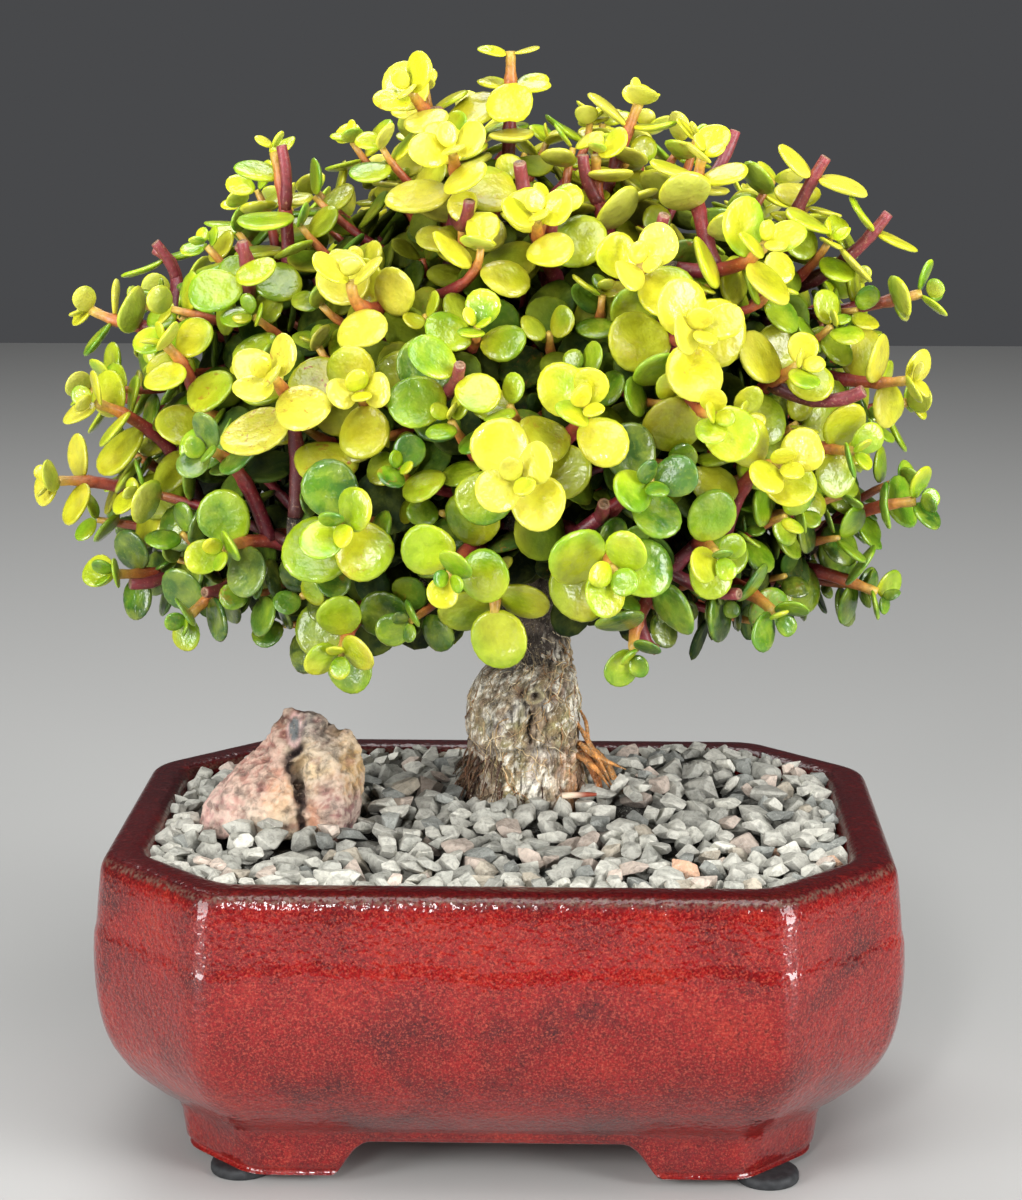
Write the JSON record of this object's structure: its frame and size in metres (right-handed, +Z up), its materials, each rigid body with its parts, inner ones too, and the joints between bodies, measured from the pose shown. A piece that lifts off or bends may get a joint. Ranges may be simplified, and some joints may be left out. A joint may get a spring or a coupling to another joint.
{
  "type": "bonsai tree",
  "caption": "Dwarf jade bonsai with a domed crown of small round leaves, in a footed rectangular glazed pot with gravel and a rock.",
  "frame": {"origin": "middle of the bounding box's base, on the surface the pot stands on, close under the middle of the pot", "axes": "+Z up, +X along the pot's long side to the viewer's right, +Y away from the viewer, towards the pot's back"},
  "size_m": [0.22, 0.186, 0.2633],
  "materials": {
    "glaze": "gloss",
    "rubber": "matte",
    "screen": "matte",
    "soil": "matte",
    "gravel": "matte",
    "rock": "matte",
    "bark": "matte",
    "leaf_yellow": "satin",
    "leaf_lime": "satin",
    "leaf_green": "satin"
  },
  "bodies": {
    "root": {"pot": "glaze", "pad_front_left": "rubber", "pad_front_right": "rubber", "pad_back_left": "rubber", "pad_back_right": "rubber", "drain_screen_left": "screen", "drain_screen_right": "screen", "soil": "soil", "gravel": "gravel", "rock": "rock", "trunk": "bark", "shoot_01": "leaf_yellow", "shoot_02": "leaf_yellow", "shoot_03": "leaf_yellow", "shoot_04": "leaf_yellow", "shoot_05": "leaf_yellow", "shoot_06": "leaf_lime", "shoot_07": "leaf_yellow", "shoot_08": "leaf_yellow", "shoot_09": "leaf_yellow", "shoot_10": "leaf_yellow", "shoot_11": "leaf_yellow", "shoot_12": "leaf_yellow", "shoot_13": "leaf_yellow", "shoot_14": "leaf_yellow", "shoot_15": "leaf_yellow", "shoot_16": "leaf_green", "shoot_17": "leaf_yellow", "shoot_18": "leaf_yellow", "shoot_19": "leaf_lime", "shoot_20": "leaf_lime", "shoot_21": "leaf_green", "shoot_22": "leaf_lime", "shoot_23": "leaf_yellow", "shoot_24": "leaf_lime", "shoot_25": "leaf_yellow", "shoot_26": "leaf_lime", "shoot_27": "leaf_yellow", "shoot_28": "leaf_yellow", "shoot_29": "leaf_lime", "shoot_30": "leaf_green", "shoot_31": "leaf_yellow", "shoot_32": "leaf_lime", "shoot_33": "leaf_yellow", "shoot_34": "leaf_green", "shoot_35": "leaf_lime", "shoot_36": "leaf_lime", "shoot_37": "leaf_green", "shoot_38": "leaf_lime", "shoot_39": "leaf_yellow", "shoot_40": "leaf_lime", "shoot_41": "leaf_yellow", "shoot_42": "leaf_yellow", "shoot_43": "leaf_lime", "shoot_44": "leaf_green", "shoot_45": "leaf_yellow", "shoot_46": "leaf_green", "shoot_47": "leaf_yellow", "shoot_48": "leaf_lime", "shoot_49": "leaf_green"}
  },
  "joints": []
}
